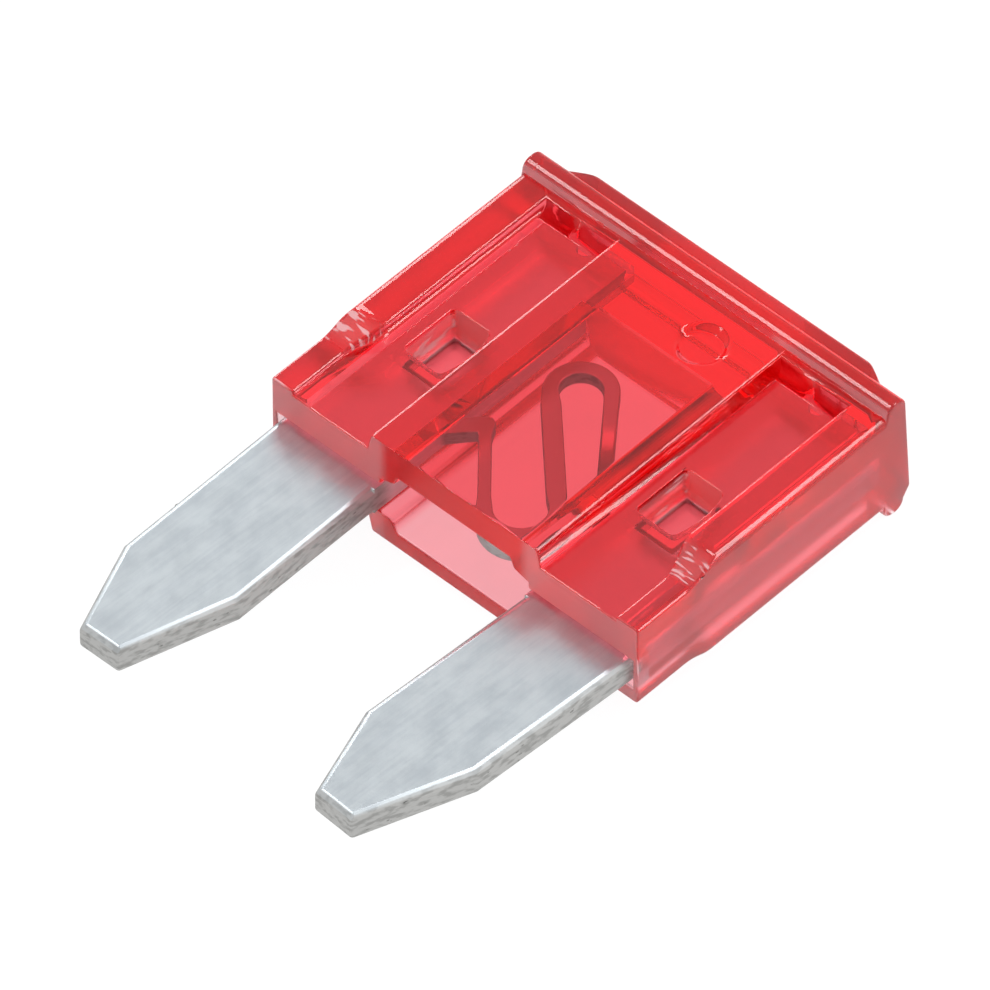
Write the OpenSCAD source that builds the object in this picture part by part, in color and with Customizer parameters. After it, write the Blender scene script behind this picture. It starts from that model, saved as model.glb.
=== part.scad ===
// Mini automotive blade fuse, lying on its broad face: X across the two blades,
// +Y from the blade tips to the gripping head, Z through the thickness.

/* [Housing] */
// Width across the two sides
housing_w = 10.9; // [10.4:0.1:11.8]
// Length from the mouth to the back of the gripping lip
housing_l = 8.66; // [8.3:0.02:9.4]
// Thickness at the two bays over the blades
bay_t = 2.1; // [1.95:0.05:2.3]
// Thickness over the centre ridge
ridge_t = 3.14; // [2.9:0.02:3.3]
// Width of the centre ridge at its foot
ridge_w = 5.16; // [4.8:0.02:5.4]
// How far each flank of the ridge leans in
ridge_draft = 0.12; // [0.02:0.02:0.2]
// Thickness over the side rims along the body
rim_t = 2.98; // [2.6:0.02:3.1]
// Thickness over the side rims near the mouth
rim_low_t = 2.36; // [2.34:0.02:2.5]
// Width of a side rim along the body
rim_w = 0.95; // [0.8:0.05:1.1]
// Width of a side rim near the mouth
rim_low_w = 0.65; // [0.5:0.05:0.75]
// Distance from the mouth to the start of the rim's swell
swell_y = 1.55; // [1.2:0.05:2]
// Length of the rim's swell
swell_l = 1.2; // [0.8:0.1:1.6]
// Rounding along the outer edges of the rims
rim_r = 0.22; // [0.1:0.02:0.3]

/* [Head] */
// Thickness over the gripping lips
head_t = 3.6; // [3.4:0.05:3.9]
// Length of a gripping lip
lip_l = 0.64; // [0.5:0.02:0.8]
// Rounding of a gripping lip
lip_r = 0.28; // [0.1:0.02:0.3]
// Length of the cross wall between a bay and its lip
cross_wall_l = 0.2; // [0.1:0.02:0.4]
// Radius of the hollow at the end of a bay
bay_end_r = 0.3; // [0.1:0.05:0.35]
// How far the back of the head leans out from one face to the other
back_draft = 0.2; // [0.05:0.05:0.3]
// How far the raised pad stands out of the back of the head
pad_h = 0.38; // [0.2:0.02:0.6]
// Width of the raised pad at its foot
pad_w = 9.4; // [8.6:0.1:9.8]
// Length of the slope at each end of the pad
pad_slope = 0.65; // [0.3:0.05:0.9]
// Thickness of the raised pad
pad_t = 3.2; // [2.4:0.1:3.3]
// Rounding along the back of the pad
pad_r = 0.15; // [0.05:0.05:0.18]

/* [Hollow] */
// Plastic over the hollow, at the ridge
roof = 0.86; // [0.7:0.02:0.9]
// Plastic under the hollow, at the ridge
floor_wall = 0.5; // [0.4:0.02:0.6]
// Width of the hollow at its roof
hollow_w = 3.32; // [3.1:0.02:3.6]
// Depth of the hollow from the mouth
hollow_l = 6.5; // [5.8:0.1:6.9]
// Room over a blade in its slot
slot_gap = 0.09; // [0.04:0.01:0.14]
// Room beside a blade in the mouth
mouth_gap = 0.07; // [0.04:0.01:0.1]
// Depth of the wide mouth
mouth_l = 0.45; // [0.4:0.05:0.7]
// Room beside and behind a blade's tang
tang_gap = 0.12; // [0.06:0.02:0.2]

/* [Stakes] */
// Distance of the stakes from the mouth
stake_y = 3.5; // [3.2:0.1:4.2]
// Width of the hole in each tang
stake_w = 1.1; // [0.9:0.05:1.2]
// Length of the hole in each tang
stake_l = 1.66; // [1.4:0.02:1.8]
// Room around the plug in its hole
stake_gap = 0.02; // [0.01:0.01:0.08]
// Depth of the pressed pocket over each stake
pocket_d = 0.78; // [0.6:0.02:0.8]
// Depth at which a pocket's wall turns into its rounded floor
pocket_wall_d = 0.5; // [0.3:0.02:0.56]
// How far each pocket wall leans in
pocket_draft = 0.06; // [0.02:0.01:0.1]
// How far a pocket's floor is set in from its mouth
pocket_floor_in = 0.22; // [0.14:0.02:0.3]
// Radius of the corners of a pocket
pocket_corner_r = 0.14; // [0.06:0.02:0.2]
// Bulge of the rounded side of a pocket
pocket_bulge = 0.14; // [0.05:0.01:0.2]

/* [Gate mark] */
// Radius of the round mark on the ridge
mark_r = 0.62; // [0.5:0.02:0.7]
// Radius of its floor
mark_floor_r = 0.42; // [0.2:0.02:0.48]
// Depth of the round mark
mark_d = 0.18; // [0.03:0.01:0.3]
// Place of the round mark across the ridge
mark_x = 1; // [0.6:0.05:1.4]
// Distance of the round mark from the mouth
mark_y = 6.9; // [6.4:0.05:7.1]

/* [Blades] */
// Thickness of the stamped strip
blade_t = 0.8; // [0.7:0.02:0.84]
// Width of a blade
blade_w = 3; // [2.7:0.05:3.1]
// Length of a blade out of the housing
blade_out = 7.35; // [6.8:0.05:8]
// Distance from a housing side to its blade
blade_inset = 0.22; // [0.18:0.02:0.34]
// How far the blades lie below the middle of the housing
blade_drop = 0.35; // [0.24:0.01:0.36]
// Width of a blade's tip
tip_w = 1.15; // [0.9:0.05:1.5]
// Length of the taper on a blade's left side
taper_left = 2.4; // [1.8:0.1:2.9]
// Length of the taper on a blade's right side
taper_right = 2.9; // [2:0.1:3.2]
// Coined edge of a blade
coin = 0.14; // [0.06:0.02:0.2]
// Turn of the left blade towards the other, in degrees
toe_left = 0.6; // [0:0.2:1.4]
// Turn of the right blade towards the other, in degrees
toe_right = 3.2; // [2:0.2:3.4]
// Step in from a blade's outer side to its tang
tang_step = 0.53; // [0.45:0.01:0.6]
// Distance from the mouth to that step
tang_y = 0.35; // [0.2:0.05:0.4]
// Wall of the housing behind the tangs
end_wall = 0.56; // [0.46:0.02:0.8]
// Radius of the notch in the end of a tang
notch_r = 0.2; // [0.1:0.02:0.3]

/* [Link] */
// Thickness of the fuse link
link_t = 0.36; // [0.24:0.02:0.46]
// Width of the link in its two bends
bend_w = 0.37; // [0.3:0.01:0.42]
// Width of the first leg, from the knee to the bend near the mouth
first_leg_w = 0.3; // [0.26:0.01:0.36]
// Width of the middle leg, between the bends
middle_leg_w = 0.46; // [0.38:0.01:0.5]
// Width of the last leg, from the bend near the head to the right tang
last_leg_w = 0.34; // [0.28:0.01:0.4]
// Length over which a leg's width turns into a bend's
leg_blend = 0.35; // [0.2:0.05:0.6]
// Radius of the bend near the mouth
bend_low_r = 0.8; // [0.7:0.01:0.84]
// Place of the bend near the mouth, across the housing
bend_low_x = 0.53; // [0.45:0.01:0.6]
// Distance of the bend near the mouth from the mouth
bend_low_y = 1.59; // [1.4:0.02:1.7]
// Radius of the bend near the head
bend_high_r = 0.68; // [0.58:0.01:0.72]
// Place of the bend near the head, left of the middle
bend_high_x = 0.83; // [0.7:0.01:0.9]
// Distance of the bend near the head from the mouth
bend_high_y = 5; // [4.8:0.02:5.1]
// Angle of the last leg from the X axis
last_leg_angle = 51; // [48:0.5:54]
// Place of the knee, left of the middle
knee_x = 1.7; // [1.6:0.02:1.8]
// Distance of the knee from the mouth
knee_y = 2.85; // [2.7:0.02:3]
// Distance from the mouth to the link's root on the left tang
root_y = 1.92; // [1.7:0.02:2.2]
// Width of the link between its root and the knee
root_w = 0.46; // [0.4:0.02:0.56]

/* [Hidden] */
$fn = 48;
// Overlap that joins solids and lets cuts run clear
eps = 0.02;
clear = 1;
z_mid = head_t / 2;
half_w = housing_w / 2;
bay_h = bay_t / 2;
ridge_h = ridge_t / 2;
rim_h = rim_t / 2;
rim_low_h = rim_low_t / 2;
head_h = head_t / 2;
lip_y = housing_l - lip_l;
wall_y = lip_y - cross_wall_l;
tail_y = housing_l + pad_h;
// Middle of the whole length, which is the origin's place along Y
y_origin = (tail_y - blade_out) / 2;
blade_x = half_w - blade_inset - blade_w / 2;
blade_z = z_mid - blade_drop;
blade_low = blade_z - blade_t / 2;
blade_top = blade_z + blade_t / 2;
slot_top = blade_top + slot_gap;
tang_out = blade_x + blade_w / 2 - tang_step;
tang_in = blade_x - blade_w / 2;
slot_end = housing_l - end_wall;
tang_end = slot_end - tang_gap;
stake_x = (tang_in + tang_out) / 2;
hollow_top = z_mid + ridge_h - roof;
hollow_low = z_mid - ridge_h + floor_wall;
// Flanks of the hollow: a lean, a chamfer down to the slots, and a small gutter
hollow_lean = [0.12, 0.28];
hollow_chamfer = [0.42, 0.12];
gutter_w = 0.2;
gutter_lean = 0.12;
// How far the link runs into the tangs it grows out of
link_bite = 0.25;
bend_low = [bend_low_x, bend_low_y];
bend_high = [-bend_high_x, bend_high_y];
knee = [-knee_x, knee_y];

// Unit vector at an angle, and the angle of a vector
function towards(a) = [cos(a), sin(a)];
function angle_of(v) = atan2(v[1], v[0]);

// Angles of the first leg, which touches the low bend, and of the middle one, which touches both
first_leg_angle = angle_of(bend_low - knee) - asin(bend_low_r / norm(bend_low - knee));
middle_leg_angle = angle_of(bend_high - bend_low)
  + asin((bend_low_r + bend_high_r) / norm(bend_high - bend_low));
last_leg_start = bend_high + bend_high_r * towards(90 - last_leg_angle);
last_leg_run = (tang_in + link_bite - last_leg_start[0]) / cos(last_leg_angle);

// An extrusion along Y of an outline drawn in X and Z, from y0 to y1
module along_y(y0, y1) {
  translate([0, y1, 0]) rotate([90, 0, 0]) linear_extrude(y1 - y0) children();
}

// An extrusion along X of an outline drawn in Y and Z, from x0 to x1
module along_x(x0, x1) {
  translate([x0, 0, 0]) rotate([90, 0, 90]) linear_extrude(x1 - x0) children();
}

// Points of a circular arc from angle a0 to a1
function arc(centre, r, a0, a1, steps = 6) =
  [for (i = [0:steps]) centre + r * [cos(a0 + (a1 - a0) * i / steps), sin(a0 + (a1 - a0) * i / steps)]];

// A smooth rise from a to b as y crosses the swell
function swell(y, a, b) =
  let (t = min(1, max(0, (y - swell_y) / swell_l))) a + (b - a) * (1 - cos(180 * t)) / 2;

// Places along Y where the swell's outline has a point
swell_steps = 10;
swell_ys = concat([-clear], [for (i = [0:swell_steps]) swell_y + swell_l * i / swell_steps]);

// Side rims: an outline from above, one from the side and one from the end, all crossed
module rims() {
  side = [for (y = swell_ys) [y, swell(y, rim_low_h, rim_h)]];
  intersection() {
    translate([0, 0, z_mid - head_h]) linear_extrude(head_t)
      for (s = [-1, 1]) scale([s, 1, 1])
        polygon(concat(
          [for (y = swell_ys) [half_w - swell(y, rim_low_w, rim_w), max(0, y)]],
          [[half_w - rim_w, lip_y + eps], [half_w + clear, lip_y + eps], [half_w + clear, 0]]));
    translate([0, 0, z_mid]) along_x(-half_w - clear, half_w + clear)
      polygon(concat(
        [for (p = side) p], [[housing_l, rim_h], [housing_l, -rim_h]],
        [for (i = [len(side) - 1:-1:0]) [side[i][0], -side[i][1]]]));
    translate([0, 0, z_mid]) along_y(-clear, housing_l)
      offset(r = rim_r) square([housing_w - 2 * rim_r, rim_t - 2 * rim_r], center = true);
  }
}

// Flat slab behind the bays, and the ridge down its middle
module body() {
  foot = ridge_w / 2;
  crest = foot - ridge_draft;
  translate([-half_w + rim_low_w / 2, 0, z_mid - bay_h]) cube([housing_w - rim_low_w, lip_y + eps, bay_t]);
  translate([0, 0, z_mid]) along_y(0, lip_y + eps)
    polygon([[-crest, -ridge_h], [crest, -ridge_h], [foot, -bay_h], [foot, bay_h],
             [crest, ridge_h], [-crest, ridge_h], [-foot, bay_h], [-foot, -bay_h]]);
}

// Cross wall at the end of the bays, hollowed where it meets them
module cross_wall() {
  hollow = [for (p = arc([wall_y - bay_end_r, bay_h + bay_end_r], bay_end_r, -90, 0)) p];
  step = concat(hollow, [[wall_y, rim_h], [lip_y + lip_l / 2, rim_h]]);
  translate([0, 0, z_mid]) along_x(-half_w + rim_r, half_w - rim_r)
    polygon(concat(step, [for (i = [len(step) - 1:-1:0]) [step[i][0], -step[i][1]]]));
}

// Head with a gripping lip on each face, and the pad on its back
module head() {
  back = housing_l;
  front_r = min(lip_r, lip_l / 2);
  translate([0, 0, z_mid]) along_x(-half_w, half_w)
    polygon(concat(
      arc([lip_y + front_r, head_h - front_r], front_r, 180, 90),
      arc([back - front_r, head_h - front_r], front_r, 90, 0),
      [[back + back_draft, -head_h + 2 * lip_r]],
      arc([back - front_r, -head_h + front_r], front_r, 0, -90),
      arc([lip_y + front_r, -head_h + front_r], front_r, -90, -180)));
  intersection() {
    translate([0, 0, z_mid - pad_t / 2]) linear_extrude(pad_t)
      polygon([[-pad_w / 2, back - lip_l / 2], [pad_w / 2, back - lip_l / 2], [pad_w / 2, back],
               [pad_w / 2 - pad_slope, tail_y], [pad_slope - pad_w / 2, tail_y], [-pad_w / 2, back]]);
    translate([0, 0, z_mid]) along_x(-half_w, half_w)
      polygon(concat(
        [[back - lip_l, -pad_t / 2]],
        arc([tail_y - pad_r, -pad_t / 2 + pad_r], pad_r, -90, 0),
        arc([tail_y - pad_r, pad_t / 2 - pad_r], pad_r, 0, 90),
        [[back - lip_l, pad_t / 2]]));
  }
}

// Hollow for the link, open at the mouth, and the two slots beside it
module hollow() {
  top = hollow_w / 2;
  lean = top + hollow_lean[0];
  side = lean + hollow_chamfer[0];
  low = hollow_low;
  half = [[top, hollow_top], [lean, hollow_top - hollow_lean[1]],
          [side, hollow_top - hollow_lean[1] - hollow_chamfer[1]], [side, blade_low],
          [side - gutter_w - gutter_lean, blade_low], [top, low]];
  along_y(-clear, hollow_l)
    polygon(concat(half, [for (i = [len(half) - 1:-1:0]) [-half[i][0], half[i][1]]]));
  for (s = [-1, 1]) scale([s, 1, 1]) {
    slot_in = tang_in - tang_gap;
    translate([slot_in, -clear, blade_low])
      cube([tang_out + tang_gap - slot_in, slot_end + clear, slot_top - blade_low]);
    translate([slot_in, -clear, blade_low])
      cube([blade_x + blade_w / 2 + mouth_gap - slot_in, mouth_l + clear, slot_top - blade_low]);
  }
}

// Outline of a pocket over a stake: round corners, one side bulged, set in by d all round
module pocket_outline(d) {
  in = d + pocket_corner_r;
  bulge_r = (stake_l * stake_l / 4 + pocket_bulge * pocket_bulge) / (2 * pocket_bulge);
  offset(r = pocket_corner_r, $fn = 24) intersection() {
    translate([-stake_w / 2 + in, -stake_l / 2 + in]) square([stake_w + pocket_bulge - 2 * in, stake_l - 2 * in]);
    translate([stake_w / 2 + pocket_bulge - bulge_r - in, 0]) circle(bulge_r, $fn = 90);
  }
}

// Pocket pressed into the face over a stake, with a rounded floor
module stake_pocket() {
  top = z_mid + bay_h;
  shoulder_d = (pocket_wall_d + pocket_d) / 2;
  hull() {
    translate([0, 0, top]) linear_extrude(clear) pocket_outline(0);
    translate([0, 0, top - pocket_wall_d]) linear_extrude(eps) pocket_outline(pocket_draft);
    translate([0, 0, top - shoulder_d]) linear_extrude(eps) pocket_outline(pocket_draft + pocket_floor_in * 0.2);
    translate([0, 0, top - pocket_d]) linear_extrude(eps) pocket_outline(pocket_floor_in);
  }
}

// Plastic that fills the tang's hole, from the slot's floor to its roof
module stake_plug() {
  translate([-stake_w / 2 + stake_gap, -stake_l / 2 + stake_gap, blade_low - eps])
    cube([stake_w - 2 * stake_gap, stake_l - 2 * stake_gap, slot_top - blade_low + 2 * eps]);
}

// Round dish with a sloping wall that an ejector left on the ridge
module gate_mark() {
  slope = (mark_r - mark_floor_r) / mark_d;
  translate([mark_x, mark_y, z_mid + ridge_h - mark_d])
    cylinder(r1 = mark_floor_r, r2 = mark_r + slope * clear, h = mark_d + clear);
}

// Clear red plastic moulding, one piece, open at its mouth
module housing() {
  color([0.86, 0.12, 0.12, 0.6]) translate([0, -y_origin, 0]) {
    difference() {
      union() {
        body();
        rims();
        cross_wall();
        head();
      }
      hollow();
      for (x = [-stake_x, stake_x]) translate([x, stake_y, 0]) stake_pocket();
      gate_mark();
    }
    for (x = [-stake_x, stake_x]) translate([x, stake_y, 0]) stake_plug();
  }
}

// Outline of a blade from its tip to its tang, set in by d all round
module blade_outline(d) {
  w = blade_w / 2 - d;
  tip = tip_w / 2 - d / 2;
  end = -blade_out + d;
  polygon([[-tip, end], [tip, end], [w, taper_right - blade_out], [w, tang_y],
           [-w, tang_y], [-w, taper_left - blade_out]]);
}

// One blade outside the housing, with its edges coined on both faces
module blade(x, turn) {
  translate([x, 0, 0]) rotate([0, 0, turn]) hull() {
    translate([0, 0, blade_low + coin]) linear_extrude(blade_t - 2 * coin) blade_outline(0);
    translate([0, 0, blade_low]) linear_extrude(blade_t) blade_outline(coin);
  }
}

// Tang inside the housing, with the stake's hole and a notch in its end
module tang(s) {
  translate([0, 0, blade_low]) linear_extrude(blade_t) difference() {
    translate([s < 0 ? -tang_out : tang_in, -coin]) square([tang_out - tang_in, tang_end + coin]);
    translate([s * stake_x, stake_y]) square([stake_w, stake_l], center = true);
    translate([s * stake_x, tang_end]) circle(notch_r);
  }
}

// A leg of the link from a towards an angle, whose width w turns into others at its two ends
module leg(a, angle, run, w, start_w, end_w) {
  half = [[0, start_w / 2], [leg_blend, w / 2], [run - leg_blend, w / 2], [run, end_w / 2]];
  translate(a) rotate(angle)
    polygon(concat(half, [for (i = [len(half) - 1:-1:0]) [half[i][0], -half[i][1]]]));
}

// A ring that joins two legs, open between the angles a0 and a1
module bend(centre, r, a0, a1) {
  reach = 3 * r;
  translate(centre) difference() {
    circle(r + bend_w / 2);
    circle(r - bend_w / 2);
    polygon([[0, 0], reach * towards(a0 + 1), 2 * reach * towards((a0 + a1) / 2), reach * towards(a1 - 1)]);
  }
}

// S-shaped fuse link between the two tangs
module link() {
  root = [-tang_in - link_bite, root_y];
  first_run = sqrt(pow(norm(bend_low - knee), 2) - pow(bend_low_r, 2));
  middle_side = middle_leg_angle - 90;
  middle_start = bend_low + bend_low_r * towards(middle_side);
  middle_run = norm(bend_high - bend_high_r * towards(middle_side) - middle_start);
  translate([0, 0, blade_z - link_t / 2]) linear_extrude(link_t) {
    leg(root, angle_of(knee - root), norm(knee - root), root_w, root_w, root_w);
    translate(knee) circle(root_w / 2);
    leg(knee, first_leg_angle, first_run, first_leg_w, root_w, bend_w);
    bend(bend_low, bend_low_r, middle_side, first_leg_angle + 270);
    leg(middle_start, middle_leg_angle, middle_run, middle_leg_w, bend_w, bend_w);
    bend(bend_high, bend_high_r, middle_side - 180, 90 - last_leg_angle);
    leg(last_leg_start, -last_leg_angle, last_leg_run, last_leg_w, bend_w, last_leg_w);
  }
}

// Stamped zinc strip: two blades, their tangs and the link between them
module fuse_element() {
  color([0.78, 0.8, 0.82]) translate([0, -y_origin, 0]) {
    blade(-blade_x, toe_left);
    blade(blade_x, -toe_right);
    tang(-1);
    tang(1);
    link();
  }
}

housing();
fuse_element();
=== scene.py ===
"""Looks of a clear red mini blade fuse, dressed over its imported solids."""

import logging
import math
from dataclasses import dataclass
from enum import Enum
from typing import Any

import bmesh
import bpy
from mathutils import Matrix, Vector


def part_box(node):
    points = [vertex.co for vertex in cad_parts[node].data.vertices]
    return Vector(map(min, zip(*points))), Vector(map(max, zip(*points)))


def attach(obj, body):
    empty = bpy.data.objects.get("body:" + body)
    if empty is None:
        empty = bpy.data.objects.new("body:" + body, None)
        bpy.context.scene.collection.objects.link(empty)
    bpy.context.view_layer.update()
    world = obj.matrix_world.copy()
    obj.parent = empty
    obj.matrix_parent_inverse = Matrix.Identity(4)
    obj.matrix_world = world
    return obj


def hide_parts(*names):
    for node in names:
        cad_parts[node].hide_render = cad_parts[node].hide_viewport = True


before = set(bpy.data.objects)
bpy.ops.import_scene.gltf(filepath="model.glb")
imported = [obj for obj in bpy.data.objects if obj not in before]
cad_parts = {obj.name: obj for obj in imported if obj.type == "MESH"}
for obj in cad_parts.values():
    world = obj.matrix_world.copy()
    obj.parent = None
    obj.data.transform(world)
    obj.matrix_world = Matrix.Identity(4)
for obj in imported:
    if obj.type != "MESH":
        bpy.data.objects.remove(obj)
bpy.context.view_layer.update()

Colour = tuple[float, float, float, float]
Triple = tuple[float, float, float]
Pair = tuple[float, float]

MM = 0.001
PHOTO_PX = 990
SENSOR_MM = 36.0
WHITE: Colour = (1.0, 1.0, 1.0, 1.0)
# Edges shorter than this, in millimetres, are closed before the corners are rounded
SEAM_MM = 0.015
# Faces that meet at less than this are joined into one before the corners are rounded
FLAT_ANGLE = math.radians(0.3)
# Outward edges sharper than this are broken
SHARP_EDGE = math.radians(32.0)
BEVEL_STEPS = 3
# How far the normals lean towards the large faces, of 100
FLAT_WEIGHT = 100
# Straight edges longer than this run the whole length of a rim or a ridge and are rounded in full
RUN_MM = 2.0
SHORT_EDGE_SHARE = 0.68
PRESSED_EDGE_SHARE = 0.3
# Middle of a stake's pocket across and along the fuse, and half the square around it, in millimetres
STAKE_MM = (3.53, 2.66, 0.9)
# The pockets' edges lie above this height
POCKET_LOW_MM = 2.0
LOG = logging.getLogger("fuse")


class Wire:
    """A shader or geometry socket whose arithmetic adds Math nodes."""

    def __init__(self, kit: "NodeKit", socket: bpy.types.NodeSocket) -> None:
        """Keeps the tree's kit and the output socket."""
        self.kit = kit
        self.socket = socket

    def _math(self, operation: str, *values: Any) -> "Wire":
        """Adds one Math node.

        Args:
            operation: Blender's name of the operation.
            values: Wires or numbers, in the order of the node's sockets.

        Returns:
            The node's result.
        """
        return self.kit.node("ShaderNodeMath", {"operation": operation}, dict(enumerate(values)))

    def __add__(self, other: Any) -> "Wire":
        """Sum."""
        return self._math("ADD", self, other)

    def __sub__(self, other: Any) -> "Wire":
        """Difference."""
        return self._math("SUBTRACT", self, other)

    def __rsub__(self, other: Any) -> "Wire":
        """Difference from a number on the left."""
        return self._math("SUBTRACT", other, self)

    def __mul__(self, other: Any) -> "Wire":
        """Product."""
        return self._math("MULTIPLY", self, other)

    def __gt__(self, other: Any) -> "Wire":
        """One where this is above other, and nought elsewhere."""
        return self._math("GREATER_THAN", self, other)

    def __lt__(self, other: Any) -> "Wire":
        """One where this is below other, and nought elsewhere."""
        return self._math("LESS_THAN", self, other)

    def __abs__(self) -> "Wire":
        """Absolute value."""
        return self._math("ABSOLUTE", self)

    def most(self, other: Any) -> "Wire":
        """The larger of two."""
        return self._math("MAXIMUM", self, other)

    def ramp(self, low: float, high: float, to_low: float = 0.0, to_high: float = 1.0) -> "Wire":
        """Maps a range smoothly to another and holds it at both ends.

        Args:
            low: Value that gives to_low.
            high: Value that gives to_high.
            to_low: Result at low.
            to_high: Result at high.

        Returns:
            The mapped value.
        """
        return self.kit.node(
            "ShaderNodeMapRange",
            {"interpolation_type": "SMOOTHSTEP"},
            {"Value": self, "From Min": low, "From Max": high, "To Min": to_low, "To Max": to_high},
        )

    def fall(self, low: float, high: float) -> "Wire":
        """One up to low, nought from high on, and smooth between them."""
        return self.ramp(low, high, 1.0, 0.0)


class NodeKit:
    """Adds nodes to one tree."""

    def __init__(self, tree: bpy.types.NodeTree) -> None:
        """Keeps the tree."""
        self.tree = tree

    def node(
        self,
        kind: str,
        settings: dict[str, Any] | None = None,
        inputs: dict[Any, Any] | None = None,
        out: Any = 0,
    ) -> Wire | None:
        """Adds a node.

        Args:
            kind: Blender's name of the node type.
            settings: Properties, set before the sockets.
            inputs: Wires or plain values by socket name or number.
            out: Name or number of the output to give back.

        Returns:
            The chosen output, or None for a node without outputs.
        """
        made = self.tree.nodes.new(kind)
        for key, value in (settings or {}).items():
            setattr(made, key, value)
        for key, value in (inputs or {}).items():
            if isinstance(value, Wire):
                self.tree.links.new(value.socket, made.inputs[key])
            else:
                made.inputs[key].default_value = value
        return Wire(self, made.outputs[out]) if len(made.outputs) else None

    def blend(self, factor: Any, first: Any, second: Any) -> Wire:
        """Mixes two colours.

        Args:
            factor: Share of the second colour.
            first: Colour or wire.
            second: Colour or wire.

        Returns:
            The mixed colour.
        """
        return self.node("ShaderNodeMix", {"data_type": "RGBA"}, {0: factor, 6: first, 7: second}, 2)

    def part_of(self, coordinate: str, axis: str) -> Wire:
        """One axis of a texture coordinate.

        Args:
            coordinate: Output of the Texture Coordinate node.
            axis: X, Y or Z.

        Returns:
            The value along that axis.
        """
        whole = self.node("ShaderNodeTexCoord", out=coordinate)
        return self.node("ShaderNodeSeparateXYZ", {}, {"Vector": whole}, axis)

    def place_mm(self, axis: str) -> Wire:
        """Place along one of the object's axes, in millimetres."""
        return self.part_of("Object", axis) * (1.0 / MM)


@dataclass(frozen=True)
class Pattern:
    """Noise between nought and one, stretched along the part.

    Attributes:
        cells: Cells per metre along each axis.
        detail: Octaves.
        roughness: Share of the finer octaves.
        turn: Turn about Z in radians, made before the stretch.
    """

    cells: Triple
    detail: float = 2.0
    roughness: float = 0.5
    turn: float = 0.0

    def wire(self, kit: NodeKit) -> Wire:
        """Adds the pattern to a tree.

        Args:
            kit: The tree's kit.

        Returns:
            The noise value.
        """
        point = {"vector_type": "POINT"}
        about_z = (0.0, 0.0, self.turn)
        place = kit.node("ShaderNodeTexCoord", out="Object")
        turned = kit.node("ShaderNodeMapping", point, {"Vector": place, "Rotation": about_z})
        vector = kit.node("ShaderNodeMapping", point, {"Vector": turned, "Scale": self.cells})
        return kit.node(
            "ShaderNodeTexNoise",
            {},
            {"Vector": vector, "Scale": 1.0, "Detail": self.detail, "Roughness": self.roughness},
        )


def new_material(name: str) -> tuple[bpy.types.Material, NodeKit]:
    """Makes an empty node material.

    Args:
        name: Its name.

    Returns:
        The material and a kit for its tree.
    """
    material = bpy.data.materials.new(name)
    material.use_nodes = True
    material.node_tree.nodes.clear()
    return material, NodeKit(material.node_tree)


@dataclass(frozen=True)
class Zones:
    """Where the moulding's finish changes, each as a share from nought to one.

    Attributes:
        upright: Faces that don't lie flat.
        low: Flat faces below the top ones.
        mouth: The open end.
        over_blade: Places beside the middle, where a blade or its tang lies.
        swell: Slopes where the side rims swell.
        stake: Pockets of the pressed stakes.
        pocket_side: Walls turned to the left or right.
        side: The two outer sides.
    """

    upright: Wire
    low: Wire
    mouth: Wire
    over_blade: Wire
    swell: Wire
    stake: Wire
    pocket_side: Wire
    side: Wire


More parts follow.
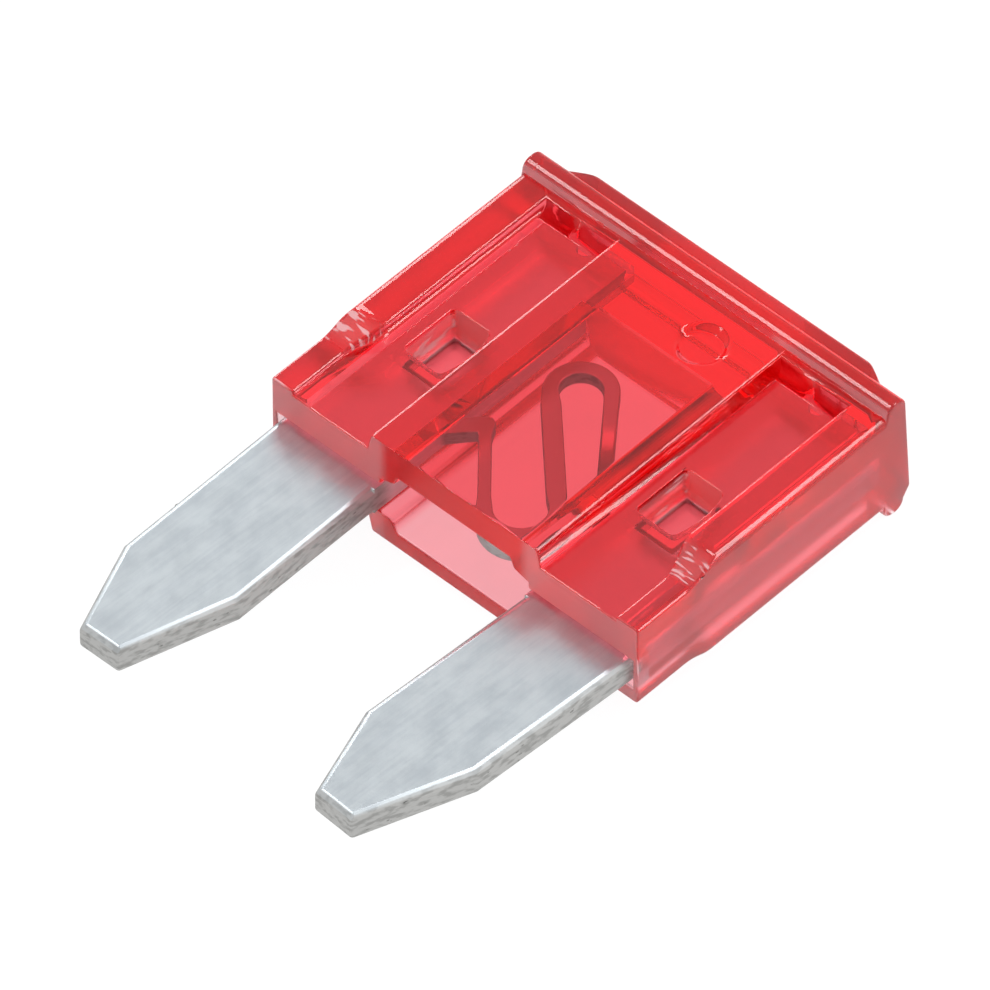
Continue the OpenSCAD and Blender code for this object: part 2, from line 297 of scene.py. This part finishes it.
@dataclass(frozen=True)
class ClearPlastic:
    """Glossy clear plastic, coloured through its depth.

    Attributes:
        name: Name of the material.
        tint: Colour that its depth lets through.
        absorption_per_m: Density of the absorption.
        ior: Index of refraction.
        cloud: Slow change of the gloss.
        cloud_range: Part of the cloud that changes the gloss.
        gloss: Roughness of the polished faces, least and most.
        low_satin: Roughness added on low flat faces.
        upright_satin: Roughness added on upright faces.
        mouth_satin: Roughness added on the mouth's face.
        side_satin: Roughness added on the two outer sides.
        swell_satin: Roughness added on the swells' slopes.
        stake_satin: Roughness added in the pockets.
        low_mm: Heights between which a flat face turns from low to high.
        flat_normal: Upward share of the normal, from an upright face to a flat one.
        mouth_normal: Y of the normal, from the mouth's face to the rest.
        swell_normal: Y of the normal, from the swells' slopes to the rest.
        aside_normal: Sideways share of the normal, from other walls to side walls.
        rim_mm: The side rims lie beyond this, across the fuse.
        side_mm: The outer sides lie beyond this, across the fuse.
        swell_end_mm: The slopes of the swells end before this, along the fuse.
        blade_mm: Places across the fuse between which the blades begin.
        pocket_mm: Heights between which the pockets end.
        frost_and_glint: Colour of frost on the plastic, and of the painted glints in the pockets and on the
            swells.
        mouth_frost: Share of frost on the mouth's face over the blades.
        side_frost: Share of frost on the two outer sides.
        stake_frost: Share of frost on the pockets' walls.
        streak_glint_share: Share of the painted glints that the stripes add on the pockets' side walls.
        streak_glints: Marks that the punch left along the pockets' side walls.
        streak_glint_range: Part of the stripe pattern that shows.
        ripple_glint_share: Share of the painted glints in a wave band.
        ripple_glints: Painted glints: pale wavy bands across the swells' slopes.
        ripple_glint_range: Part of the wave pattern that shows.
    """

    name: str = "clear_red_plastic"
    tint: Colour = (0.997, 0.01, 0.12, 1.0)
    absorption_per_m: float = 1500.0
    ior: float = 1.5
    cloud: Pattern = Pattern((900.0, 900.0, 900.0), detail=3.0)
    cloud_range: Pair = (0.35, 0.75)
    gloss: Pair = (0.02, 0.07)
    low_satin: float = 0.2
    upright_satin: float = 0.05
    mouth_satin: float = 0.4
    side_satin: float = 0.28
    swell_satin: float = 0.32
    stake_satin: float = 0.3
    low_mm: Pair = (1.5, 1.9)
    flat_normal: Pair = (0.4, 0.8)
    mouth_normal: Pair = (-0.9, -0.6)
    swell_normal: Pair = (-0.16, -0.08)
    aside_normal: Pair = (0.4, 0.6)
    rim_mm: float = 4.3
    side_mm: float = 5.35
    swell_end_mm: float = 4.0
    blade_mm: Pair = (1.9, 2.3)
    pocket_mm: Pair = (2.7, 2.8)
    frost_and_glint: Colour = (0.95, 0.62, 0.64, 1.0)
    mouth_frost: float = 0.26
    side_frost: float = 0.05
    stake_frost: float = 0.2
    streak_glint_share: float = 0.5
    streak_glints: Pattern = Pattern((7000.0, 1500.0, 7000.0), detail=1.0)
    streak_glint_range: Pair = (0.52, 0.62)
    ripple_glint_share: float = 0.6
    ripple_glints: Pattern = Pattern((2200.0, 8500.0, 900.0), detail=1.0)
    ripple_glint_range: Pair = (0.54, 0.62)

    def _zones(self, kit: NodeKit) -> Zones:
        """Works out where the finish changes.

        Args:
            kit: The material's kit.

        Returns:
            The zones.
        """
        x_mm, y_mm, z_mm = (kit.place_mm(axis) for axis in "XYZ")
        flat = abs(kit.part_of("Normal", "Z")).ramp(*self.flat_normal)
        forward = kit.part_of("Normal", "Y")
        mouth = forward.fall(*self.mouth_normal)
        slope = forward.fall(*self.swell_normal) * (1.0 - mouth)
        place_x, place_y, reach = STAKE_MM
        off = abs(abs(x_mm) - place_x).most(abs(y_mm - place_y))
        return Zones(
            upright=1.0 - flat,
            low=z_mm.fall(*self.low_mm) * flat,
            mouth=mouth,
            over_blade=abs(x_mm).ramp(*self.blade_mm),
            swell=slope * (abs(x_mm) > self.rim_mm) * (y_mm < self.swell_end_mm),
            stake=(off < reach) * z_mm.fall(*self.pocket_mm),
            pocket_side=abs(kit.part_of("Normal", "X")).ramp(*self.aside_normal),
            side=(abs(x_mm) > self.side_mm) * (1.0 - flat),
        )

    def _roughness(self, kit: NodeKit, zones: Zones) -> Wire:
        """Polish above, and satin below, at the mouth, on the sides and swells and in the pockets.

        Args:
            kit: The material's kit.
            zones: Where the finish changes.

        Returns:
            The roughness.
        """
        satin = (zones.low * self.low_satin).most(zones.upright * self.upright_satin)
        satin = satin.most(zones.mouth * self.mouth_satin).most(zones.side * self.side_satin)
        satin = satin.most(zones.swell * self.swell_satin).most(zones.stake * self.stake_satin)
        return self.cloud.wire(kit).ramp(*self.cloud_range, *self.gloss) + satin

    def _frost_and_glints(self, kit: NodeKit, zones: Zones) -> Wire:
        """Frost over the blades, in the pockets and on the outer sides, and painted glints in the pockets and
        on the swells.

        Args:
            kit: The material's kit.
            zones: Where the finish changes.

        Returns:
            The share of frost and painted glints.
        """
        # Painted glints: pale stripes of frost along the pockets' side walls stand in for the glints there
        wall_glint = self.streak_glints.wire(kit).ramp(*self.streak_glint_range) * zones.pocket_side
        pocket = zones.stake * zones.upright * (wall_glint * self.streak_glint_share + self.stake_frost)
        # Painted glints: pale wavy bands of frost on the swells' slopes stand in for the glints there
        swell_glint = self.ripple_glints.wire(kit).ramp(*self.ripple_glint_range) * zones.swell
        frost = (zones.mouth * zones.over_blade * self.mouth_frost).most(pocket)
        return frost.most(swell_glint * self.ripple_glint_share).most(zones.side * (1.0 - zones.mouth) * self.side_frost)

    def material(self) -> bpy.types.Material:
        """Builds the material."""
        material, kit = new_material(self.name)
        zones = self._zones(kit)
        clear = kit.node(
            "ShaderNodeBsdfPrincipled",
            {},
            {
                "Base Color": WHITE,
                "Roughness": self._roughness(kit, zones),
                "IOR": self.ior,
                "Transmission Weight": 1.0,
            },
        )
        milky = kit.node("ShaderNodeBsdfDiffuse", {}, {"Color": self.frost_and_glint})
        # The milky shader draws both the frost and the painted glints
        surface = kit.node("ShaderNodeMixShader", {}, {0: self._frost_and_glints(kit, zones), 1: clear, 2: milky})
        depth = kit.node(
            "ShaderNodeVolumeAbsorption", {}, {"Color": self.tint, "Density": self.absorption_per_m}
        )
        kit.node("ShaderNodeOutputMaterial", {}, {"Surface": surface, "Volume": depth})
        return material


@dataclass(frozen=True)
class RolledZinc:
    """Rolled zinc strip, faintly lined, mottled and scratched, with sheared edges, a painted pale tone inside
    the housing and painted shade on the link.

    Attributes:
        name: Name of the material.
        face: Paler tone of the rolled faces.
        face_dark: Darker tone of the rolled faces.
        painted_bright_inside: Painted light: a far paler tone on the tangs and their cut sides inside the
            housing, which brightens the red plastic over them.
        painted_shade_link: Painted shade: a darker, reddish tone on the link, for the dim red light that
            reaches it through the thick plastic.
        sheared: Smooth part of a cut side.
        torn: Broken part of a cut side.
        lines: Rolling lines along the blades.
        cloud: Mottles.
        scratch: Handling marks.
        shares: Shares of lines, cloud and scratch in the tone.
        tone_range: Part of their sum that changes the tone.
        tears: Broken patches on a cut side.
        tear_range: Part of the tears that shows.
        grain: Relief of a cut side.
        flat_normal: Upward share of the normal, from a cut side to a face.
        mouth_mm: Places along the fuse between which the strip enters the housing.
        link_mm: Places across the fuse between which the link ends and a tang begins.
        cloud_range: Part of the mottles that changes the roughness.
        face_roughness: Roughness of the faces, least and most.
        side_roughness: Roughness of the cut sides.
        relief_m: Height of the relief.
        relief: Strength of the relief.
        line_height: Share of the relief for the lines.
        grain_height: Share of the relief for the grain.
    """

    name: str = "rolled_zinc"
    face: Colour = (0.63, 0.68, 0.71, 1.0)
    face_dark: Colour = (0.55, 0.60, 0.64, 1.0)
    painted_bright_inside: Colour = (0.93, 0.94, 0.96, 1.0)
    painted_shade_link: Colour = (0.66, 0.56, 0.56, 1.0)
    sheared: Colour = (0.56, 0.56, 0.55, 1.0)
    torn: Colour = (0.41, 0.41, 0.4, 1.0)
    lines: Pattern = Pattern((9000.0, 420.0, 3000.0), detail=3.0, roughness=0.6, turn=0.04)
    cloud: Pattern = Pattern((1900.0, 1200.0, 900.0), detail=5.0, roughness=0.7)
    scratch: Pattern = Pattern((1500.0, 240.0, 900.0), detail=6.0, roughness=0.75, turn=-0.5)
    shares: Triple = (0.38, 0.44, 0.18)
    tone_range: Pair = (0.38, 0.62)
    tears: Pattern = Pattern((3600.0, 2200.0, 8000.0), roughness=0.6)
    tear_range: Pair = (0.44, 0.64)
    grain: Pattern = Pattern((5000.0, 1800.0, 7000.0), roughness=0.6)
    flat_normal: Pair = (0.55, 0.99)
    mouth_mm: Pair = (-0.9, -0.3)
    link_mm: Pair = (2.1, 2.2)
    cloud_range: Pair = (0.3, 0.7)
    face_roughness: Pair = (0.3, 0.4)
    side_roughness: float = 0.7
    relief_m: float = 0.000014
    relief: float = 0.5
    line_height: float = 0.25
    grain_height: float = 2.0

    def material(self) -> bpy.types.Material:
        """Builds the material."""
        material, kit = new_material(self.name)
        lines, cloud, scratch = (pattern.wire(kit) for pattern in (self.lines, self.cloud, self.scratch))
        side = 1.0 - abs(kit.part_of("Normal", "Z")).ramp(*self.flat_normal)
        inside = kit.place_mm("Y").ramp(*self.mouth_mm)
        beside = abs(kit.place_mm("X")).ramp(*self.link_mm)
        of_lines, of_cloud, of_scratch = self.shares
        tone = (lines * of_lines + cloud * of_cloud + scratch * of_scratch).ramp(*self.tone_range)
        # Painted light: the tangs inside the housing take a far paler tone, so the plastic over them looks
        # brighter
        face = kit.blend(inside, kit.blend(tone, self.face_dark, self.face), self.painted_bright_inside)
        # Painted shade: the link takes a darker, reddish tone for the red light that reaches it through the
        # plastic
        face = kit.blend(inside * (1.0 - beside), face, self.painted_shade_link)
        edge = kit.blend(self.tears.wire(kit).ramp(*self.tear_range), self.sheared, self.torn)
        # Painted light: the cut sides of the tangs inside the housing take the same pale tone
        edge = kit.blend(inside * beside, edge, self.painted_bright_inside)
        height = lines * (1.0 - side) * self.line_height + self.grain.wire(kit) * side * self.grain_height
        bump = kit.node(
            "ShaderNodeBump", {}, {"Strength": self.relief, "Distance": self.relief_m, "Height": height}
        )
        rolled = cloud.ramp(*self.cloud_range, *self.face_roughness) * (1.0 - side)
        surface = kit.node(
            "ShaderNodeBsdfPrincipled",
            {},
            {
                "Base Color": kit.blend(side, face, edge),
                "Metallic": 1.0,
                "Roughness": rolled + side * self.side_roughness,
                "Normal": bump,
            },
        )
        kit.node("ShaderNodeOutputMaterial", {}, {"Surface": surface})
        return material


@dataclass(frozen=True)
class TornZinc:
    """Dull broken grain where the punch tore the strip.

    Attributes:
        name: Name of the material.
        pale: Tone of the high grain.
        dark: Tone of the low grain.
        metallic: Share of bare metal.
        grain: Its pattern.
        tone_range: Part of the grain that changes the tone.
        roughness: Roughness of low and high grain.
    """

    name: str = "torn_zinc"
    pale: Colour = (0.46, 0.46, 0.45, 1.0)
    dark: Colour = (0.27, 0.27, 0.26, 1.0)
    metallic: float = 0.7
    grain: Pattern = Pattern((9000.0, 6000.0, 9000.0))
    tone_range: Pair = (0.4, 0.6)
    roughness: Pair = (0.5, 0.8)

    def material(self) -> bpy.types.Material:
        """Builds the material."""
        material, kit = new_material(self.name)
        grain = self.grain.wire(kit)
        surface = kit.node(
            "ShaderNodeBsdfPrincipled",
            {},
            {
                "Base Color": kit.blend(grain.ramp(*self.tone_range), self.dark, self.pale),
                "Metallic": self.metallic,
                "Roughness": grain.ramp(0.0, 1.0, *self.roughness),
            },
        )
        kit.node("ShaderNodeOutputMaterial", {}, {"Surface": surface})
        return material


@dataclass(frozen=True)
class FloorPaper:
    """White sweep that stays white in the picture and keeps a pale shadow.

    Attributes:
        name: Name of the material.
        white: Colour of the paper.
        glow_share: Share of glow where the camera sees it, straight or in the fuse.
        glow: Strength of the glow.
    """

    name: str = "floor_paper"
    white: Colour = (0.9, 0.9, 0.9, 1.0)
    glow_share: float = 0.85
    glow: float = 1.1

    def material(self) -> bpy.types.Material:
        """Builds the material."""
        material, kit = new_material(self.name)
        path = kit.node("ShaderNodeLightPath", out="Is Camera Ray")
        rays = path.socket.node.outputs
        seen = path.most(Wire(kit, rays["Is Glossy Ray"])).most(Wire(kit, rays["Is Transmission Ray"]))
        paper = kit.node("ShaderNodeBsdfDiffuse", {}, {"Color": self.white})
        glow = kit.node("ShaderNodeEmission", {}, {"Color": WHITE, "Strength": self.glow})
        mixed = kit.node("ShaderNodeMixShader", {}, {0: seen * self.glow_share, 1: paper, 2: glow})
        kit.node("ShaderNodeOutputMaterial", {}, {"Surface": mixed})
        return material


class Rounding(Enum):
    """How far the edges of a piece are broken, in millimetres."""

    MOULDED = 0.1
    STAMPED = 0.06


def linked_object(name: str, mesh: bpy.types.Mesh) -> bpy.types.Object:
    """Puts a mesh into the scene.

    Args:
        name: Name of the object.
        mesh: Its mesh.

    Returns:
        The object.
    """
    made = bpy.data.objects.new(name, mesh)
    bpy.context.scene.collection.objects.link(made)
    return made


def applied_mesh(carrier: bpy.types.Object) -> bpy.types.Mesh:
    """Takes an object's mesh with its modifiers applied, and removes the object."""
    graph = bpy.context.evaluated_depsgraph_get()
    mesh = bpy.data.meshes.new_from_object(carrier.evaluated_get(graph))
    bpy.data.objects.remove(carrier)
    return mesh


def edge_share(edge: bmesh.types.BMEdge) -> float:
    """Says how far an edge is rounded.

    Args:
        edge: An edge of a mesh in millimetres.

    Returns:
        Share of the full rounding: nought in corners and on flat ground, little around a pressed pocket.
    """
    if edge.calc_face_angle_signed(0.0) <= SHARP_EDGE:
        return 0.0
    place_x, place_y, reach = STAKE_MM
    start, end = (vertex.co for vertex in edge.verts)
    middle = (start + end) / 2.0
    off = max(abs(abs(middle.x) - place_x), abs(middle.y - place_y))
    if middle.z > POCKET_LOW_MM and off < reach:
        return PRESSED_EDGE_SHARE
    return 1.0 if abs(start.y - end.y) > RUN_MM else SHORT_EDGE_SHARE


def weighted_copy(node: str) -> bpy.types.Mesh:
    """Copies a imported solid's mesh, cleans it and marks how far each edge is rounded.

    Args:
        node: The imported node.

    Returns:
        The mesh, in millimetres.
    """
    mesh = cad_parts[node].data.copy()
    mesh.transform(Matrix.Scale(1.0 / MM, 4))
    build = bmesh.new()
    build.from_mesh(mesh)
    bmesh.ops.remove_doubles(build, verts=build.verts, dist=SEAM_MM)
    bmesh.ops.dissolve_limit(
        build, angle_limit=FLAT_ANGLE, verts=build.verts, edges=build.edges, use_dissolve_boundaries=False
    )
    weight = build.edges.layers.float.new("bevel_weight_edge")
    for edge in build.edges:
        edge[weight] = edge_share(edge)
    build.to_mesh(mesh)
    build.free()
    for face in mesh.polygons:
        face.use_smooth = True
    return mesh


def rounded_copy(node: str, name: str, rounding: Rounding, material: bpy.types.Material) -> bpy.types.Object:
    """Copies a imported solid, breaks its sharp edges and gives it a finish.

    Args:
        node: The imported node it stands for.
        name: Name of the new piece.
        rounding: How far its edges are broken.
        material: Its finish.

    Returns:
        The piece, which rides on the root body and replaces the node.
    """
    rough = linked_object(name + "_rough", weighted_copy(node))
    bevel = rough.modifiers.new("edges", "BEVEL")
    bevel.width = rounding.value
    bevel.segments = BEVEL_STEPS
    bevel.limit_method = "WEIGHT"
    bevel.use_clamp_overlap = False
    weigh = rough.modifiers.new("flats", "WEIGHTED_NORMAL")
    weigh.mode = "FACE_AREA"
    weigh.weight = FLAT_WEIGHT
    finished = applied_mesh(rough)
    finished.transform(Matrix.Scale(MM, 4))
    lowest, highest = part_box(node)
    for vertex in finished.vertices:
        vertex.co = [min(max(value, low), high) for value, low, high in zip(vertex.co, lowest, highest)]
    finished.materials.clear()
    finished.materials.append(material)
    piece = linked_object(name, finished)
    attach(piece, "root")
    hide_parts(node)
    return piece


@dataclass
class Housing:
    """The clear moulding.

    Attributes:
        finish: Its plastic.
    """

    finish: ClearPlastic = ClearPlastic()

    def build(self) -> bpy.types.Object:
        """Builds the moulding with its edges broken."""
        piece = rounded_copy("housing", "clear_housing", Rounding.MOULDED, self.finish.material())
        return piece


@dataclass
class FuseElement:
    """The stamped strip with its blades and link.

    Attributes:
        finish: Its metal.
        film_mm: Film of air between the strip and the floor of its slots, which lie in one plane.
    """

    finish: RolledZinc = RolledZinc()
    film_mm: float = 0.008

    def build(self) -> bpy.types.Object:
        """Builds the strip with its edges broken, a film of air above the floor of its slots."""
        piece = rounded_copy("fuse_element", "zinc_element", Rounding.STAMPED, self.finish.material())
        low, high = (corner[2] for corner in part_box("fuse_element"))
        share = 1.0 - self.film_mm * MM / (high - low)
        for vertex in piece.data.vertices:
            vertex.co.z = high - (high - vertex.co.z) * share
        return piece


@dataclass
class ShearMarks:
    """Small torn nicks that follow the cut sides of both blades.

    Attributes:
        finish: Their metal.
        per_mm2: Nicks per square millimetre.
        nick_mm: Length of the smallest and the largest nick.
        narrow_share: Width of a nick as a share of its length.
        proud_share: Thickness of a nick as a share of its length.
        from_tip_mm: Bare length at the tips.
        mouth_mm: The nicks end here, before the housing.
        upright_normal: Faces whose normal rises more than this are no cut sides.
        seed: Seed of the scatter.
    """

    finish: TornZinc = TornZinc()
    per_mm2: float = 4.0
    nick_mm: Pair = (0.05, 0.16)
    narrow_share: float = 0.45
    proud_share: float = 0.08
    from_tip_mm: float = 0.35
    mouth_mm: float = -1.0
    upright_normal: float = 0.3
    seed: int = 7

    def _tree(self, material: bpy.types.Material) -> tuple[bpy.types.NodeTree, dict[str, str]]:
        """Builds the tree that scatters the nicks over the faces of its input.

        Args:
            material: Finish of the nicks.

        Returns:
            The tree, and the identifier of each input by its name.
        """
        tree = bpy.data.node_groups.new("shear_marks", "GeometryNodeTree")
        kinds = {
            "Cut faces": "Geometry",
            "Density": "Float",
            "Smallest": "Float",
            "Largest": "Float",
            "Seed": "Int",
        }
        names = {}
        for name, kind in kinds.items():
            socket = tree.interface.new_socket(name, in_out="INPUT", socket_type="NodeSocket" + kind)
            names[name] = socket.identifier
        tree.interface.new_socket("Nicks", in_out="OUTPUT", socket_type="NodeSocketGeometry")
        kit = NodeKit(tree)
        given = tree.nodes.new("NodeGroupInput").outputs
        wires = {name: Wire(kit, given[name]) for name in names}
        points = kit.node(
            "GeometryNodeDistributePointsOnFaces",
            {"distribute_method": "RANDOM"},
            {"Mesh": wires["Cut faces"], "Density": wires["Density"], "Seed": wires["Seed"]},
        )
        turn = Wire(kit, points.socket.node.outputs["Rotation"])
        # One unit across, so that a nick's scale is its size
        grain = kit.node("GeometryNodeMeshIcoSphere", {}, {"Radius": 0.5, "Subdivisions": 1})
        size = kit.node(
            "FunctionNodeRandomValue",
            {"data_type": "FLOAT"},
            {2: wires["Smallest"], 3: wires["Largest"], "Seed": wires["Seed"]},
            1,
        )
        sides = {"X": size, "Y": size * self.narrow_share, "Z": size * self.proud_share}
        stretch = kit.node("ShaderNodeCombineXYZ", {}, sides)
        spread = kit.node(
            "GeometryNodeInstanceOnPoints",
            {},
            {"Points": points, "Instance": grain, "Rotation": turn, "Scale": stretch},
        )
        real = kit.node("GeometryNodeRealizeInstances", {}, {"Geometry": spread})
        dressed = kit.node("GeometryNodeSetMaterial", {}, {"Geometry": real, "Material": material})
        kit.node("NodeGroupOutput", {}, {"Nicks": dressed})
        return tree, names

    def _cut_faces(self) -> bpy.types.Mesh:
        """Takes the upright faces of the blades outside the housing, away from the tips' ends."""
        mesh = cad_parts["fuse_element"].data.copy()
        first_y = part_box("fuse_element")[0][1] + self.from_tip_mm * MM
        last_y = self.mouth_mm * MM
        build = bmesh.new()
        build.from_mesh(mesh)
        bmesh.ops.remove_doubles(build, verts=build.verts, dist=SEAM_MM * MM)
        for cut in (first_y, last_y):
            geometry = build.verts[:] + build.edges[:] + build.faces[:]
            bmesh.ops.bisect_plane(build, geom=geometry, plane_co=(0.0, cut, 0.0), plane_no=(0.0, 1.0, 0.0))
        away = [
            face
            for face in build.faces
            if abs(face.normal.z) > self.upright_normal or not first_y < face.calc_center_median().y < last_y
        ]
        bmesh.ops.delete(build, geom=away, context="FACES")
        build.to_mesh(mesh)
        build.free()
        return mesh

    def build(self) -> bpy.types.Object:
        """Scatters the nicks and makes them one plain mesh."""
        carrier = linked_object("cut_faces", self._cut_faces())
        tree, names = self._tree(self.finish.material())
        scatter = carrier.modifiers.new("shear", "NODES")
        scatter.node_group = tree
        scatter[names["Density"]] = self.per_mm2 / (MM * MM)
        scatter[names["Smallest"]] = self.nick_mm[0] * MM
        scatter[names["Largest"]] = self.nick_mm[1] * MM
        scatter[names["Seed"]] = self.seed
        piece = linked_object("shear_marks", applied_mesh(carrier))
        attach(piece, "root")
        return piece


@dataclass(frozen=True)
class Softbox:
    """One oblong softbox that faces the fuse.

    Attributes:
        name: Its name.
        towards: Direction from the fuse to its middle.
        along: Direction of its long side.
        size_mm: Length and width.
        radiance: How bright its face is, beside the world's.
    """

    name: str
    towards: Triple
    along: Triple
    size_mm: Pair
    radiance: float

    def hang(self, distance_mm: float) -> bpy.types.Object:
        """Hangs the softbox.

        Args:
            distance_mm: How far from the fuse.

        Returns:
            The lamp.
        """
        out = Vector(self.towards).normalized()
        across = out.cross(Vector(self.along)).normalized()
        data = bpy.data.lights.new(self.name, "AREA")
        data.shape = "RECTANGLE"
        data.size, data.size_y = (side * MM for side in self.size_mm)
        data.energy = self.radiance * math.pi * data.size * data.size_y
        lamp = bpy.data.objects.new(self.name, data)
        lamp.location = out * distance_mm * MM
        lamp.rotation_mode = "QUATERNION"
        lamp.rotation_quaternion = Matrix((across.cross(out), across, out)).transposed().to_quaternion()
        bpy.context.scene.collection.objects.link(lamp)
        return lamp


@dataclass
class Studio:
    """Camera, floor and lights.

    Attributes:
        azimuth_deg: Camera's turn about the fuse from -Y towards +X.
        elevation_deg: Camera's height over the floor.
        distance_mm: Distance of the camera and of the softboxes.
        target_mm: What the camera looks at.
        scale_px_per_mm: Scale of the picture at the target.
        clip_m: Nearest and farthest that the camera sees.
        floor_half_m: Half the floor's side.
        sky: Strength of the white world.
        softboxes: Strips whose mirror images are the highlights on long edges, the lip and the left rim.
        bounces: Turns that a ray of light may take.
        clear_bounces: Turns of them in glass and on polish.
    """

    azimuth_deg: float = 43.0
    elevation_deg: float = 48.2
    distance_mm: float = 400.0
    target_mm: Triple = (0.4047, 0.059, 2.85)
    scale_px_per_mm: float = 45.982
    clip_m: Pair = (0.01, 10.0)
    floor_half_m: float = 1.5
    sky: float = 0.78
    softboxes: tuple[Softbox, ...] = (
        Softbox("rim_strip", (0.509, 0.488, 0.710), (0.813, 0.0, -0.583), (600.0, 36.0), 8.0),
        Softbox("lip_strip", (-0.455, -0.231, 0.860), (0.0, 0.966, 0.259), (200.0, 36.0), 8.5),
        Softbox("left_strip", (-0.790, 0.488, 0.370), (0.424, 0.0, 0.906), (250.0, 30.0), 6.0),
    )
    bounces: int = 64
    clear_bounces: int = 48

    def camera(self) -> bpy.types.Object:
        """Places the camera at the photo's angle and framing."""
        around, up = math.radians(self.azimuth_deg), math.radians(self.elevation_deg)
        back = Vector((math.sin(around) * math.cos(up), -math.cos(around) * math.cos(up), math.sin(up)))
        data = bpy.data.cameras.new("camera")
        data.sensor_width = SENSOR_MM
        data.lens = self.scale_px_per_mm * self.distance_mm * SENSOR_MM / PHOTO_PX
        data.clip_start, data.clip_end = self.clip_m
        camera = bpy.data.objects.new("camera", data)
        camera.location = (Vector(self.target_mm) + back * self.distance_mm) * MM
        camera.rotation_mode = "QUATERNION"
        camera.rotation_quaternion = (-back).to_track_quat("-Z", "Y")
        bpy.context.scene.collection.objects.link(camera)
        bpy.context.scene.camera = camera
        return camera

    def floor(self) -> bpy.types.Object:
        """Lays the white floor under the fuse."""
        half = self.floor_half_m
        mesh = bpy.data.meshes.new("floor")
        corners = [(-half, -half, 0.0), (half, -half, 0.0), (half, half, 0.0), (-half, half, 0.0)]
        mesh.from_pydata(corners, [], [(0, 1, 2, 3)])
        mesh.materials.append(FloorPaper().material())
        floor = linked_object("floor", mesh)
        return floor

    def lights(self) -> None:
        """Sets the world and hangs the softboxes."""
        world = bpy.data.worlds.new("studio")
        world.use_nodes = True
        kit = NodeKit(world.node_tree)
        world.node_tree.nodes.clear()
        sky = kit.node("ShaderNodeBackground", {}, {"Color": WHITE, "Strength": self.sky})
        kit.node("ShaderNodeOutputWorld", {}, {"Surface": sky})
        bpy.context.scene.world = world
        for softbox in self.softboxes:
            softbox.hang(self.distance_mm)

    def light_paths(self) -> None:
        """Lets light turn often enough to leave the clear moulding, which would look black inside."""
        cycles = bpy.context.scene.cycles
        cycles.max_bounces = self.bounces
        cycles.glossy_bounces = self.clear_bounces
        cycles.transmission_bounces = self.clear_bounces


def main() -> None:
    """Builds the scene."""
    logging.basicConfig(level=logging.INFO)
    bpy.context.scene.view_settings.view_transform = "Standard"
    studio = Studio()
    studio.camera()
    studio.floor()
    studio.lights()
    studio.light_paths()
    for part in (Housing(), FuseElement(), ShearMarks()):
        piece = part.build()
        LOG.info("%s: %d faces", piece.name, len(piece.data.polygons))


if __name__ == "__main__":
    main()
